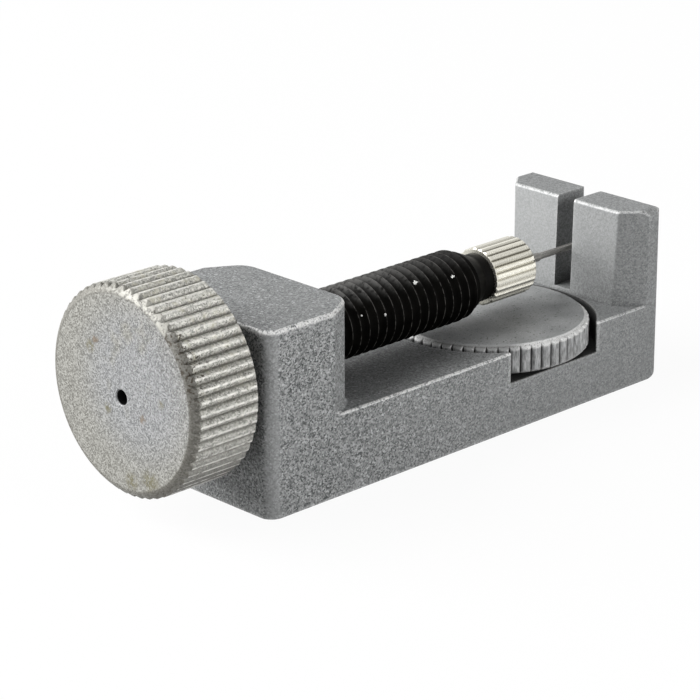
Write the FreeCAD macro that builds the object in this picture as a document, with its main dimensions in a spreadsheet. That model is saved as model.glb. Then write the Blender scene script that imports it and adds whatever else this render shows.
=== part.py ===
import FreeCAD, Part
import os
import Sketcher

# Watch link remover: a small bench tool that drives the pin out of a bracelet link.
# A knurled knob turns a lead screw through the rear block of a one-piece casting, and
# the pin in its knurled cap is pressed towards a slotted anvil. A knurled wheel in a
# round pocket lifts the bracelet to the height of the pin.
# Row frame: X runs from the knob to the anvil, Z is up, and the origin is the middle of
# the casting's underside. Every length is in millimetres.

# How near an edge must lie to the place where a fillet looks for it, and how level a flat
# edge must be
NEAR = 0.01
LEVEL = 0.001

doc = FreeCAD.newDocument("WatchLinkRemover")
sheet = doc.addObject("Spreadsheet::Sheet", "Dimensions")

# Driving dimensions of the casting
casting_sizes = [
    ("body_length", 59.3),
    ("body_width", 20.0),
    ("floor_height", 9.0),
    ("block_length", 13.1),
    ("block_height", 20.1),
    ("block_chamfer_run", 4.1),
    ("block_chamfer_inset", 2.4),
    ("block_corner_radius", 2.75),
    ("anvil_height", 20.0),
    ("anvil_depth", 5.15),
    ("anvil_lean", 0.33),
    ("anvil_flare_run", 3.05),
    ("anvil_flare_inset", 2.5),
    ("slot_width", 2.4),
    ("slot_sill", 0.4),
    ("slot_corner_radius", 0.7),
    ("pocket_depth", 3.45),
    ("pocket_gap", 0.8),
    ("rear_corner_radius", 1.5),
    ("end_corner_radius", 0.8),
    ("shoulder_radius", 1.0),
    ("heel_radius", 1.7),
    ("edge_radius", 0.4),
    ("flare_edge_radius", 0.3),
    ("foot_radius", 0.4),
    ("floor_edge_radius", 0.3),
    ("lip_radius", 0.12),
]
# Driving dimensions of the lead screw, its knob, the pin cap and the push pin
screw_sizes = [
    ("axis_height", 14.0),
    ("thread_diameter", 8.0),
    ("taper_length", 2.8),
    ("nose_diameter", 5.4),
    ("nose_length", 1.3),
    ("spigot_diameter", 4.0),
    ("spigot_length", 4.5),
    ("end_chamfer", 0.4),
    ("running_clearance", 0.05),
    ("seat_clearance", 0.02),
    ("knob_gap", 2.1),
    ("knob_diameter", 22.3),
    ("knob_length", 8.5),
    ("knob_face_diameter", 20.6),
    ("knob_bevel", 0.67),
    ("knob_wall", 2.0),
    ("knob_hole_diameter", 1.6),
    ("knob_hole_drop", 0.5),
    ("knob_groove_depth", 0.42),
    ("knob_groove_width", 0.95),
    ("knob_ribs", 57),
    ("cap_diameter", 6.5),
    ("cap_length", 6.9),
    ("cap_front_length", 0.8),
    ("cap_front_inset", 0.7),
    ("cap_wall", 1.1),
    ("cap_groove_depth", 0.24),
    ("cap_groove_width", 0.56),
    ("cap_ribs", 25),
    ("rim_chamfer", 0.15),
    ("pin_head_diameter", 3.4),
    ("pin_root_diameter", 1.0),
    ("pin_root_reach", 3.0),
    ("pin_diameter", 0.75),
    ("pin_reach", 8.7),
    ("pin_entry", 1.5),
    ("pin_tip_chamfer", 0.12),
]
# Driving dimensions of the height wheel and its stud
wheel_sizes = [
    ("wheel_setback", 12.2),
    ("wheel_diameter", 22.4),
    ("wheel_thickness", 3.3),
    ("wheel_bevel", 0.5),
    ("wheel_under_bevel", 0.3),
    ("wheel_lift", 0.6),
    ("wheel_groove_depth", 0.38),
    ("wheel_groove_width", 0.9),
    ("wheel_ribs", 55),
    ("stud_diameter", 4.0),
    ("stud_socket_depth", 2.2),
    ("stud_base_gap", 0.8),
    ("stud_chamfer", 0.5),
]
for row, (alias, size) in enumerate(casting_sizes + screw_sizes + wheel_sizes, start=1):
    sheet.set(f"A{row}", alias)
    sheet.set(f"B{row}", str(size))
    sheet.setAlias(f"B{row}", alias)
doc.recompute()


def dim(text):
    """Turn the aliases in a line of arithmetic into references to the sheet."""
    words = text.replace("(", " ( ").replace(")", " ) ").split()
    aliases = {name for name, _ in casting_sizes + screw_sizes + wheel_sizes}
    return " ".join(f"Dimensions.{word}" if word in aliases else word for word in words)


# Stations that several pieces share, each worked out from the driving dimensions
REAR = dim("( - body_length / 2 )")
END = dim("( body_length / 2 )")
HALF_WIDTH = dim("( body_width / 2 )")
BLOCK_FRONT = dim("( - body_length / 2 + block_length )")
ANVIL_FOOT = dim("( body_length / 2 - anvil_depth )")
ANVIL_BROW = dim("( body_length / 2 - anvil_depth + anvil_lean )")
WHEEL_AXIS = dim("( body_length / 2 - anvil_depth - wheel_setback )")
POCKET_FLOOR = dim("( floor_height - pocket_depth )")
POCKET_RADIUS = dim("( wheel_diameter / 2 + pocket_gap )")
CAP_REAR = dim("( body_length / 2 - anvil_depth + pin_entry - pin_reach - cap_length )")
PIN_HEAD_REAR = dim("( spigot_length + running_clearance )")
PIN_HEAD_FRONT = dim("( cap_length - cap_wall - running_clearance )")


def number(expression):
    """The present value of an expression, for laying out a sketch near its solution."""
    return float(sheet.evalExpression(expression))


def own_datum(body, role):
    """One of a body's own origin planes or axes."""
    return next(datum for datum in body.Origin.OriginFeatures if datum.Role == role)


def new_body(label, station):
    """A body with its name and its place in the row frame, both bound to the sheet."""
    body = doc.addObject("PartDesign::Body", f"{label}_body")
    body.Label = label
    for axis, expression in zip("xyz", station):
        body.setExpression(f"Placement.Base.{axis}", expression)
    return body


def new_sketch(body, name, role, lift):
    """An empty sketch on an origin plane of its body, lifted off that plane by an expression."""
    sketch = body.newObject("Sketcher::SketchObject", name)
    sketch.AttachmentSupport = [(own_datum(body, role), "")]
    sketch.MapMode = "FlatFace"
    sketch.setExpression("AttachmentOffset.Base.z", lift)
    return sketch


def bind(sketch, kind, elements, expression):
    """One dimension of a sketch, driven by an expression."""
    place = sketch.addConstraint(Sketcher.Constraint(kind, *elements, number(expression)))
    name = f"size_{place}"
    sketch.renameConstraint(place, name)
    sketch.setExpression(f"Constraints.{name}", expression)


def bind_point(sketch, edge, end, across, up):
    """Hold one end of an edge at its distances from the sketch's origin."""
    bind(sketch, "DistanceX", (-1, 1, edge, end), across)
    bind(sketch, "DistanceY", (-1, 1, edge, end), up)


def polygon(body, name, role, loops, lift="0"):
    """A sketch of closed straight-sided loops, each corner held by two driven distances."""
    sketch = new_sketch(body, name, role, lift)
    for corners in loops:
        first = sketch.GeometryCount
        places = [FreeCAD.Vector(number(across), number(up), 0) for across, up in corners]
        for here, there in zip(places, places[1:] + places[:1]):
            sketch.addGeometry(Part.LineSegment(here, there), False)
        for step, (across, up) in enumerate(corners):
            following = first + (step + 1) % len(corners)
            sketch.addConstraint(Sketcher.Constraint("Coincident", first + step, 2, following, 1))
            bind_point(sketch, first + step, 1, across, up)
    return sketch


def disc(body, name, role, across, up, radius, lift="0"):
    """A sketch of one circle."""
    sketch = new_sketch(body, name, role, lift)
    centre = FreeCAD.Vector(number(across), number(up), 0)
    normal = FreeCAD.Vector(0, 0, 1)
    sketch.addGeometry(Part.Circle(centre, normal, number(radius)), False)
    bind(sketch, "Radius", (0,), radius)
    bind_point(sketch, 0, 3, across, up)
    return sketch


def pad(body, name, sketch, length):
    """Extrude a sketch to both sides of its plane."""
    feature = body.newObject("PartDesign::Pad", name)
    feature.Profile = sketch
    feature.SideType = "Symmetric"
    feature.setExpression("Length", length)
    return feature


def cut(body, name, sketch, length):
    """Cut a sketch into the solid, against its plane's normal."""
    feature = body.newObject("PartDesign::Pocket", name)
    feature.Profile = sketch
    feature.setExpression("Length", length)
    return feature


def turn(body, name, sketch, axis):
    """Turn a half profile about one of its sketch's two axes."""
    feature = body.newObject("PartDesign::Revolution", name)
    feature.Profile = sketch
    feature.ReferenceAxis = (sketch, [axis])
    feature.Angle = 360
    return feature


def knurl(body, name, role, axis, radius, depth, width, length, count, lift="0"):
    """Cut one V groove along the rim and repeat it all the way round."""
    groove = [
        ("0", f"{radius} - {depth}"),
        (f"{width}", f"{radius} + {depth}"),
        (f"-{width}", f"{radius} + {depth}"),
    ]
    groove_sketch = polygon(body, f"{name}_groove_outline", role, [groove], lift)
    groove_cut = cut(body, f"{name}_groove", groove_sketch, length)
    pattern = body.newObject("PartDesign::PolarPattern", name)
    pattern.Originals = [groove_cut]
    pattern.Axis = (own_datum(body, axis), [""])
    pattern.Angle = 360
    pattern.setExpression("Occurrences", count)
    body.Tip = pattern
    return pattern


def round_edges(body, name, radius, chosen):
    """Fillet the edges of the body's present shape that a test picks out."""
    doc.recompute()
    base = body.Tip
    edges = [f"Edge{index}" for index, edge in enumerate(base.Shape.Edges, 1) if chosen(edge)]
    feature = body.newObject("PartDesign::Fillet", name)
    feature.Base = (base, edges)
    feature.setExpression("Radius", radius)
    return feature


def at_pocket_opening(edge):
    """True for the upright edges where the round pocket breaks out through a side."""
    box = edge.BoundBox
    upright = box.ZLength > box.XLength + box.YLength
    inside = number(BLOCK_FRONT) < box.Center.x < number(ANVIL_FOOT)
    return upright and inside and abs(abs(box.Center.y) - number(HALF_WIDTH)) < NEAR


def lies_flat(edge, up):
    """True for an edge that stays at one height."""
    box = edge.BoundBox
    return box.ZLength < LEVEL and abs(box.Center.z - up) < NEAR


def lies_across(edge, across, up):
    """True for a straight edge along Y at one station along X and one height."""
    box = edge.BoundBox
    lengthwise = box.YLength > box.XLength + box.ZLength
    return lengthwise and abs(box.Center.x - across) < NEAR and abs(box.Center.z - up) < NEAR


# The casting: a side profile extruded across, cut back in plan and in front view, then
# slotted, pocketed and drilled. Each rounded corner is cut with an arc, so that corners of
# different radius can run into each other.
def rounded_corners(body, name, role, corners, radius, lift):
    """A sketch of the slivers that lie outside a set of rounded corners."""
    sketch = new_sketch(body, name, role, lift)
    for across, up, across_sign, up_sign in corners:
        centre = (f"{across} {across_sign} {radius}", f"{up} {up_sign} {radius}")
        ends = [(across, centre[1]), (centre[0], up)]
        tip = FreeCAD.Vector(number(across), number(up), 0)
        start, stop = [FreeCAD.Vector(number(x), number(y), 0) for x, y in ends]
        middle = FreeCAD.Vector(number(centre[0]), number(centre[1]), 0)
        middle = middle + (tip - middle) * (number(radius) / (tip - middle).Length)
        first = sketch.GeometryCount
        arc = Part.Arc(start, middle, stop)
        sketch.addGeometry(arc, False)
        sketch.addGeometry(Part.LineSegment(stop, tip), False)
        sketch.addGeometry(Part.LineSegment(tip, start), False)
        arc_ends = {}
        for end in (1, 2):
            gap = sketch.getPoint(first, end) - start
            arc_ends["start" if gap.Length < LEVEL else "stop"] = end
        sketch.addConstraint(Sketcher.Constraint("Coincident", first, arc_ends["stop"], first + 1, 1))
        sketch.addConstraint(Sketcher.Constraint("Coincident", first + 1, 2, first + 2, 1))
        sketch.addConstraint(Sketcher.Constraint("Coincident", first + 2, 2, first, arc_ends["start"]))
        bind_point(sketch, first + 1, 2, across, up)
        bind_point(sketch, first + 1, 1, *ends[1])
        bind_point(sketch, first + 2, 2, *ends[0])
        bind(sketch, "Radius", (first,), radius)
    return sketch


def make_frame():
    body = new_body("frame", ("0", "0", "0"))
    floor = dim("floor_height")
    crown = dim("anvil_height")
    side = [
        (REAR, "0"),
        (END, "0"),
        (END, crown),
        (ANVIL_BROW, crown),
        (ANVIL_FOOT, floor),
        (BLOCK_FRONT, floor),
        (BLOCK_FRONT, dim("block_height")),
        (REAR, dim("block_height")),
    ]
    side_sketch = polygon(body, "side_profile", "XZ_Plane", [side])
    pad(body, "side_pad", side_sketch, dim("body_width"))
    end, brow, top = number(END), number(ANVIL_BROW), number(crown)
    body.Tip = round_edges(body, "heel", dim("heel_radius"),
                           lambda edge: lies_across(edge, end, 0))
    body.Tip = round_edges(body, "anvil_crown", dim("edge_radius"),
                           lambda edge: lies_across(edge, end, top) or lies_across(edge, brow, top))

    # The block's two front corners are cut back above the floor, and so are the anvil's
    corner_cuts = []
    flare_cuts = []
    for sign in ("", "-"):
        edge_line = f"{sign}{HALF_WIDTH}"
        block_inset = f"{sign}{dim('( body_width / 2 - block_chamfer_inset )')}"
        flare_inset = f"{sign}{dim('( body_width / 2 - anvil_flare_inset )')}"
        corner_cuts.append([
            (f"{BLOCK_FRONT} - {dim('block_chamfer_run')}", edge_line),
            (BLOCK_FRONT, block_inset),
            (BLOCK_FRONT, edge_line),
        ])
        flare_cuts.append([
            (ANVIL_FOOT, edge_line),
            (ANVIL_FOOT, flare_inset),
            (f"{ANVIL_FOOT} + {dim('anvil_flare_run')}", edge_line),
        ])
    corner_sketch = polygon(body, "block_corners_outline", "XY_Plane", corner_cuts, dim("block_height"))
    cut(body, "block_corners", corner_sketch, dim("block_height - floor_height"))
    flare_sketch = polygon(body, "anvil_flares_outline", "XY_Plane", flare_cuts, crown)
    cut(body, "anvil_flares", flare_sketch, dim("anvil_height - floor_height"))

    # Upright corners at both ends, then the anvil's two shoulders
    rear_corners = [(REAR, HALF_WIDTH, "+", "-"), (REAR, f"-{HALF_WIDTH}", "+", "+")]
    rear_sketch = rounded_corners(body, "rear_corners_outline", "XY_Plane", rear_corners,
                                  dim("rear_corner_radius"), dim("block_height"))
    cut(body, "rear_corners", rear_sketch, dim("block_height"))
    end_corners = [(END, HALF_WIDTH, "-", "-"), (END, f"-{HALF_WIDTH}", "-", "+")]
    end_sketch = rounded_corners(body, "end_corners_outline", "XY_Plane", end_corners,
                                 dim("end_corner_radius"), crown)
    cut(body, "end_corners", end_sketch, crown)
    shoulders = [(HALF_WIDTH, crown, "-", "-"), (f"-{HALF_WIDTH}", crown, "+", "-")]
    shoulder_sketch = rounded_corners(body, "shoulders_outline", "YZ_Plane", shoulders,
                                      dim("shoulder_radius"), END)
    body.Tip = cut(body, "shoulders", shoulder_sketch, dim("anvil_depth"))

    # The block's two front corners are rounded where the cut meets the front
    front, rim, low = number(BLOCK_FRONT), number(dim("block_height")), number(floor)
    half = number(HALF_WIDTH)
    inset = number(dim("block_chamfer_inset"))

    def at_block_corner(edge):
        """True for the upright edges where the block's cut corners meet its front."""
        box = edge.BoundBox
        misses = (box.Center.x - front, abs(box.Center.y) - (half - inset))
        return box.ZLength > NEAR and max(abs(miss) for miss in misses) < NEAR

    body.Tip = round_edges(body, "block_corner_rounds", dim("block_corner_radius"), at_block_corner)

    # Softened edges: the block's rim and its foot, then the outline of each flare
    body.Tip = round_edges(body, "block_rim", dim("edge_radius"),
                           lambda edge: lies_flat(edge, rim) and edge.BoundBox.XMax < front + NEAR)
    flare_end = number(f"{ANVIL_FOOT} + {dim('anvil_flare_run')}")
    flare_slope = number(dim("anvil_flare_inset / anvil_flare_run"))

    def bounds_flare(edge):
        """True for an edge of a flare, other than the one along the floor."""
        misses = [half + flare_slope * (v.X - flare_end) - abs(v.Y) for v in edge.Vertexes]
        return max(abs(miss) for miss in misses) < NEAR and not lies_flat(edge, low)

    def at_block_foot(edge):
        """True for an edge where the block's front meets the floor."""
        box = edge.BoundBox
        return lies_flat(edge, low) and box.YLength > NEAR and box.XMax < front + NEAR

    body.Tip = round_edges(body, "flare_outlines", dim("flare_edge_radius"), bounds_flare)
    body.Tip = round_edges(body, "block_foot", dim("foot_radius"), at_block_foot)

    # The wheel's pocket, which opens through both sides, with its sharp lips blunted
    pocket_sketch = disc(body, "pocket_outline", "XY_Plane", WHEEL_AXIS, "0", POCKET_RADIUS, floor)
    body.Tip = cut(body, "wheel_pocket", pocket_sketch, dim("pocket_depth"))
    body.Tip = round_edges(body, "pocket_lips", dim("lip_radius"), at_pocket_opening)

    # The floor's two long edges, rounded between the block and the anvil
    floor_corners = [(HALF_WIDTH, floor, "-", "-"), (f"-{HALF_WIDTH}", floor, "+", "-")]
    floor_end = f"{ANVIL_FOOT} + {dim('anvil_flare_run')} - {dim('floor_edge_radius')}"
    floor_start = f"{BLOCK_FRONT} - {dim('block_chamfer_run')} + {dim('2 * floor_edge_radius')}"
    floor_sketch = rounded_corners(body, "floor_edges_outline", "YZ_Plane", floor_corners,
                                   dim("floor_edge_radius"), floor_end)
    cut(body, "floor_edges", floor_sketch, f"{floor_end} - ( {floor_start} )")

    # The slot that the driven-out pin drops through
    slot_half = dim("slot_width / 2")
    slot = [
        (dim("( body_length / 2 - 2 * anvil_depth + anvil_lean )"), f"-{slot_half}"),
        (f"{END} + {dim('anvil_lean')}", f"-{slot_half}"),
        (f"{END} + {dim('anvil_lean')}", slot_half),
        (dim("( body_length / 2 - 2 * anvil_depth + anvil_lean )"), slot_half),
    ]
    slot_drop = dim("anvil_height - floor_height - slot_sill")
    slot_sketch = polygon(body, "slot_outline", "XY_Plane", [slot], crown)
    cut(body, "slot", slot_sketch, slot_drop)
    slot_corners = [(END, slot_half, "-", "+"), (END, f"-{slot_half}", "-", "-")]
    slot_corner_sketch = rounded_corners(body, "slot_corners_outline", "XY_Plane", slot_corners,
                                         dim("slot_corner_radius"), crown)
    cut(body, "slot_corners", slot_corner_sketch, slot_drop)

    # The screw's bore through the block and the stud's hole under the wheel
    bore_radius = dim("( thread_diameter / 2 + running_clearance )")
    bore_sketch = disc(body, "screw_bore_outline", "YZ_Plane", "0", dim("axis_height"), bore_radius,
                       BLOCK_FRONT)
    cut(body, "screw_bore", bore_sketch, dim("block_length"))
    hole_radius = dim("( stud_diameter / 2 + running_clearance )")
    hole_sketch = disc(body, "stud_hole_outline", "XY_Plane", WHEEL_AXIS, "0", hole_radius, POCKET_FLOOR)
    body.Tip = cut(body, "stud_hole", hole_sketch, POCKET_FLOOR)
    return body


# The lead screw: a plain bar at the thread's outer diameter, with a tapered end, a nose
# that the cap seats against and a spigot that the cap is screwed on to
def make_lead_screw():
    body = new_body("lead_screw", (REAR, "0", dim("axis_height")))
    rear_end = dim("( knob_wall - knob_gap - knob_length )")
    thread = dim("thread_diameter / 2")
    nose = dim("nose_diameter / 2")
    spigot = dim("spigot_diameter / 2")
    chamfer = dim("end_chamfer")
    spigot_start = f"{CAP_REAR} - {REAR}"
    spigot_end = f"{spigot_start} + {dim('spigot_length')}"
    nose_start = f"{spigot_start} - {dim('nose_length')}"
    taper_start = f"{nose_start} - {dim('taper_length')}"
    half_profile = [
        (rear_end, "0"),
        (spigot_end, "0"),
        (spigot_end, f"{spigot} - {chamfer}"),
        (f"{spigot_end} - {chamfer}", spigot),
        (spigot_start, spigot),
        (spigot_start, nose),
        (nose_start, nose),
        (taper_start, thread),
        (f"{rear_end} + {chamfer}", thread),
        (rear_end, f"{thread} - {chamfer}"),
    ]
    sketch = polygon(body, "screw_half_profile", "XZ_Plane", [half_profile])
    body.Tip = turn(body, "screw_bar", sketch, "H_Axis")
    return body


# The knob: a bevelled drum with a blind socket for the screw, straight ribs all round and a
# small hole through its outer wall, which in the photo sits a little below the middle
def make_knob():
    body = new_body("knob", (f"{REAR} - {dim('knob_gap')}", "0", dim("axis_height")))
    rim = dim("knob_diameter / 2")
    face = dim("knob_face_diameter / 2")
    socket = dim("( thread_diameter / 2 + seat_clearance )")
    hole = dim("knob_hole_diameter / 2")
    outer_face = dim("( - knob_length )")
    socket_end = dim("( knob_wall - knob_length )")
    chamfer = dim("rim_chamfer")
    half_profile = [
        ("0", socket),
        ("0", f"{rim} - {chamfer}"),
        (f"-{chamfer}", rim),
        (f"{outer_face} + {dim('knob_bevel')}", rim),
        (outer_face, face),
        (outer_face, "0"),
        (socket_end, "0"),
        (socket_end, socket),
    ]
    sketch = polygon(body, "knob_half_profile", "XZ_Plane", [half_profile])
    turn(body, "knob_drum", sketch, "H_Axis")
    knurl(body, "knob_knurl", "YZ_Plane", "X_Axis", rim, dim("knob_groove_depth"),
          dim("knob_groove_width"), dim("knob_length"), dim("knob_ribs"))
    hole_sketch = disc(body, "knob_hole_outline", "YZ_Plane", "0", dim("( - knob_hole_drop )"), hole,
                       socket_end)
    body.Tip = cut(body, "knob_hole", hole_sketch, dim("knob_wall"))
    return body


# The pin cap: a knurled nut over the spigot, with the pin's hole through its front wall
def make_pin_cap():
    body = new_body("pin_cap", (CAP_REAR, "0", dim("axis_height")))
    rim = dim("cap_diameter / 2")
    bore = dim("( spigot_diameter / 2 + seat_clearance )")
    hole = dim("( pin_root_diameter / 2 + running_clearance )")
    front = dim("cap_length")
    bore_end = dim("( cap_length - cap_wall )")
    chamfer = dim("rim_chamfer")
    half_profile = [
        ("0", bore),
        (bore_end, bore),
        (bore_end, hole),
        (front, hole),
        (front, f"{rim} - {dim('cap_front_inset')}"),
        (f"{front} - {dim('cap_front_length')}", rim),
        (chamfer, rim),
        ("0", f"{rim} - {chamfer}"),
    ]
    sketch = polygon(body, "cap_half_profile", "XZ_Plane", [half_profile])
    turn(body, "cap_nut", sketch, "H_Axis")
    knurl(body, "cap_knurl", "YZ_Plane", "X_Axis", rim, dim("cap_groove_depth"),
          dim("cap_groove_width"), front, dim("cap_ribs"), lift=front)
    return body


# The push pin: a flat head held in the cap, a thicker root and the thin driving end
def make_push_pin():
    body = new_body("push_pin", (CAP_REAR, "0", dim("axis_height")))
    head = dim("pin_head_diameter / 2")
    root = dim("pin_root_diameter / 2")
    shank = dim("pin_diameter / 2")
    chamfer = dim("pin_tip_chamfer")
    root_end = dim("( cap_length + pin_root_reach )")
    tip = dim("( cap_length + pin_reach )")
    half_profile = [
        (PIN_HEAD_REAR, "0"),
        (tip, "0"),
        (tip, f"{shank} - {chamfer}"),
        (f"{tip} - {chamfer}", shank),
        (f"{root_end} + {root} - {shank}", shank),
        (root_end, root),
        (PIN_HEAD_FRONT, root),
        (PIN_HEAD_FRONT, head),
        (PIN_HEAD_REAR, head),
    ]
    sketch = polygon(body, "pin_half_profile", "XZ_Plane", [half_profile])
    body.Tip = turn(body, "pin_turned", sketch, "H_Axis")
    return body


# The height wheel: a flat knurled disc with a blind socket for its stud underneath
def make_height_wheel():
    underside = f"{POCKET_FLOOR} + {dim('wheel_lift')}"
    body = new_body("height_wheel", (WHEEL_AXIS, "0", underside))
    rim = dim("wheel_diameter / 2")
    top = dim("wheel_thickness")
    bevel = dim("wheel_bevel")
    under_bevel = dim("wheel_under_bevel")
    socket = dim("( stud_diameter / 2 + running_clearance )")
    socket_top = dim("( stud_socket_depth + running_clearance )")
    half_profile = [
        (socket, "0"),
        (f"{rim} - {under_bevel}", "0"),
        (rim, under_bevel),
        (rim, f"{top} - {bevel}"),
        (f"{rim} - {bevel}", top),
        ("0", top),
        ("0", socket_top),
        (socket, socket_top),
    ]
    sketch = polygon(body, "wheel_half_profile", "XZ_Plane", [half_profile])
    turn(body, "wheel_disc", sketch, "V_Axis")
    knurl(body, "wheel_knurl", "XY_Plane", "Z_Axis", rim, dim("wheel_groove_depth"),
          dim("wheel_groove_width"), top, dim("wheel_ribs"), lift=top)
    return body


# The stud that carries the wheel in the casting's tapped hole
def make_wheel_stud():
    body = new_body("wheel_stud", (WHEEL_AXIS, "0", dim("stud_base_gap")))
    length = f"{POCKET_FLOOR} + {dim('wheel_lift + stud_socket_depth - stud_base_gap')}"
    barrel = dim("stud_diameter / 2")
    chamfer = dim("stud_chamfer")
    half_profile = [
        ("0", "0"),
        (f"{barrel} - {chamfer}", "0"),
        (barrel, chamfer),
        (barrel, f"{length} - {chamfer}"),
        (f"{barrel} - {chamfer}", length),
        ("0", length),
    ]
    sketch = polygon(body, "stud_half_profile", "XZ_Plane", [half_profile])
    body.Tip = turn(body, "stud_bar", sketch, "V_Axis")
    return body


bodies = [
    make_frame(),
    make_lead_screw(),
    make_knob(),
    make_pin_cap(),
    make_push_pin(),
    make_height_wheel(),
    make_wheel_stud(),
]
doc.recompute()

for item in doc.Objects:
    if "Invalid" in item.State or "Error" in item.State:
        raise RuntimeError(f"{item.Label} could not be made: {item.State}")
for body in bodies:
    if body.Shape.isNull() or not body.Shape.isValid():
        raise RuntimeError(f"{body.Label} has no valid shape")

os.makedirs("parts", exist_ok=True)
for body in bodies:
    body.Shape.exportStep(f"parts/{body.Label}.step")
    box = body.Shape.optimalBoundingBox(True, False)
    print(f"{body.Label}: {len(body.Shape.Solids)} solid, {body.Shape.Volume:.1f} mm3, "
          f"X {box.XMin:.2f} to {box.XMax:.2f}, Y {box.YMin:.2f} to {box.YMax:.2f}, "
          f"Z {box.ZMin:.2f} to {box.ZMax:.2f}")
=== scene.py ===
# %% [markdown]
# A watch link remover, dressed for its portrait. The tool is a painted casting with a lead
# screw through its rear block, a knurled knob behind, a pin in a small knurled cap in front,
# and a knurled wheel let into its floor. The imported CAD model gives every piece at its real
# place, so this file adds the camera, the light, the finishes, the screw's real thread and
# the rounder ribs of the knob and the wheel.

# %% Load the frame
import math

import bmesh
import bpy
from mathutils import Matrix, Vector


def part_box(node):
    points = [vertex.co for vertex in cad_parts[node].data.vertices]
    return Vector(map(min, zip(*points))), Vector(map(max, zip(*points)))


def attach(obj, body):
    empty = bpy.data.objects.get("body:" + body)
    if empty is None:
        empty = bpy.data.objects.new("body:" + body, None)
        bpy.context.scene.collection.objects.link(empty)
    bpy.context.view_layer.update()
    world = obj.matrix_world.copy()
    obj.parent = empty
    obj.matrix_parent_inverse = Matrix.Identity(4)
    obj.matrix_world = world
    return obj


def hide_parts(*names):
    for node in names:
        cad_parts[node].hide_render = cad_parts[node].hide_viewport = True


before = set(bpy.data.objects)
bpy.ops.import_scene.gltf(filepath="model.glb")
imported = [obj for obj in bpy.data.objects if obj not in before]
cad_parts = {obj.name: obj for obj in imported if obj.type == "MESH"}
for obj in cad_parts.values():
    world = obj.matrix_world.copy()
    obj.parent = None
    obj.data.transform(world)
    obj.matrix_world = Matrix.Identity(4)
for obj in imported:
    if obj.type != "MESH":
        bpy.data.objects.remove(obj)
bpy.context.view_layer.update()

MM = 0.001

# %% [markdown]
# The photograph was taken from in front and to the left, about twenty degrees above the
# table, with a long lens. A camera could be dragged into place by hand, but it is easier to
# repeat when it is placed by what it looks at: a point inside the tool, a direction given by
# azimuth and elevation, and a distance. The lens follows from how large the tool stands in
# the frame.

# %% Camera
CAMERA_AIM = Vector((-4.9545, 4.1347, 8.3297)) * MM
CAMERA_AZIMUTH = -43.8985
CAMERA_ELEVATION = 20.13
CAMERA_ROLL = -0.2827
CAMERA_DISTANCE = 317.37 * MM
SENSOR_WIDTH = 36.0
FOCAL_LENGTH = 151.167


def toward(azimuth, elevation):
    """The direction out to a camera or a lamp, from its azimuth and elevation in degrees."""
    azimuth, elevation = math.radians(azimuth), math.radians(elevation)
    return Vector((
        math.sin(azimuth) * math.cos(elevation),
        -math.cos(azimuth) * math.cos(elevation),
        math.sin(elevation),
    ))


def look_along(place, target, roll=0.0):
    """A matrix that stands at one point and looks at another, level but for a roll."""
    turn = (target - place).to_track_quat("-Z", "Y").to_matrix().to_4x4()
    return Matrix.Translation(place) @ turn @ Matrix.Rotation(roll, 4, "Z")


def add_camera():
    """The portrait's camera, which stands at its distance from the aim and looks at it."""
    data = bpy.data.cameras.new("portrait_camera")
    data.sensor_fit = "HORIZONTAL"
    data.sensor_width = SENSOR_WIDTH
    data.lens = FOCAL_LENGTH
    data.clip_start = 10 * MM
    data.clip_end = 5000 * MM
    camera = bpy.data.objects.new("portrait_camera", data)
    bpy.context.scene.collection.objects.link(camera)
    place = CAMERA_AIM + toward(CAMERA_AZIMUTH, CAMERA_ELEVATION) * CAMERA_DISTANCE
    camera.matrix_world = look_along(place, CAMERA_AIM, math.radians(CAMERA_ROLL))
    bpy.context.scene.camera = camera
    return camera


camera = add_camera()
bpy.context.scene.view_settings.view_transform = "Standard"
print("camera at", [round(v / MM, 1) for v in camera.matrix_world.translation], "mm")

# %% [markdown]
# Every finish below is a node graph, and the graphs share a few small steps: a new material
# with its shader, coordinates that stay with the piece, noise, masks and mixes of colour.
# Painted pictures would be another way, but nodes need no file, stay sharp at any distance
# and give the same result on each run. Object coordinates come in metres; every length that
# a helper is given or gives back is in millimetres.


# %% A material and its shader
def new_finish(name):
    """A material with a Principled shader, and its node tree ready to be built on."""
    material = bpy.data.materials.new(name)
    material.use_nodes = True
    tree = material.node_tree
    tree.nodes.clear()
    shader = tree.nodes.new("ShaderNodeBsdfPrincipled")
    output = tree.nodes.new("ShaderNodeOutputMaterial")
    tree.links.new(shader.outputs["BSDF"], output.inputs["Surface"])
    return material, tree, shader


def coat(tree, shader, colour, roughness, metallic, specular):
    """Give the shader a colour and a roughness that vary, and two values that don't."""
    tree.links.new(colour, shader.inputs["Base Color"])
    tree.links.new(roughness, shader.inputs["Roughness"])
    shader.inputs["Metallic"].default_value = metallic
    shader.inputs["Specular IOR Level"].default_value = specular


# %% Arithmetic with values and masks
def arithmetic(tree, operation, first, second):
    """One step of arithmetic on two values, either of which may be a plain number."""
    node = tree.nodes.new("ShaderNodeMath")
    node.operation = operation
    for socket, value in zip(node.inputs, (first, second)):
        if isinstance(value, (int, float)):
            socket.default_value = value
        else:
            tree.links.new(value, socket)
    return node.outputs["Value"]


def weaker(tree, value, share):
    """A share of a mask."""
    return arithmetic(tree, "MULTIPLY", value, share)


def all_of(tree, *masks):
    """The product of several masks: 1 only where each of them is 1."""
    product = masks[0]
    for other in masks[1:]:
        product = arithmetic(tree, "MULTIPLY", product, other)
    return product


def any_of(tree, *masks):
    """The largest of several masks."""
    largest = masks[0]
    for other in masks[1:]:
        largest = arithmetic(tree, "MAXIMUM", largest, other)
    return largest


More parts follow.
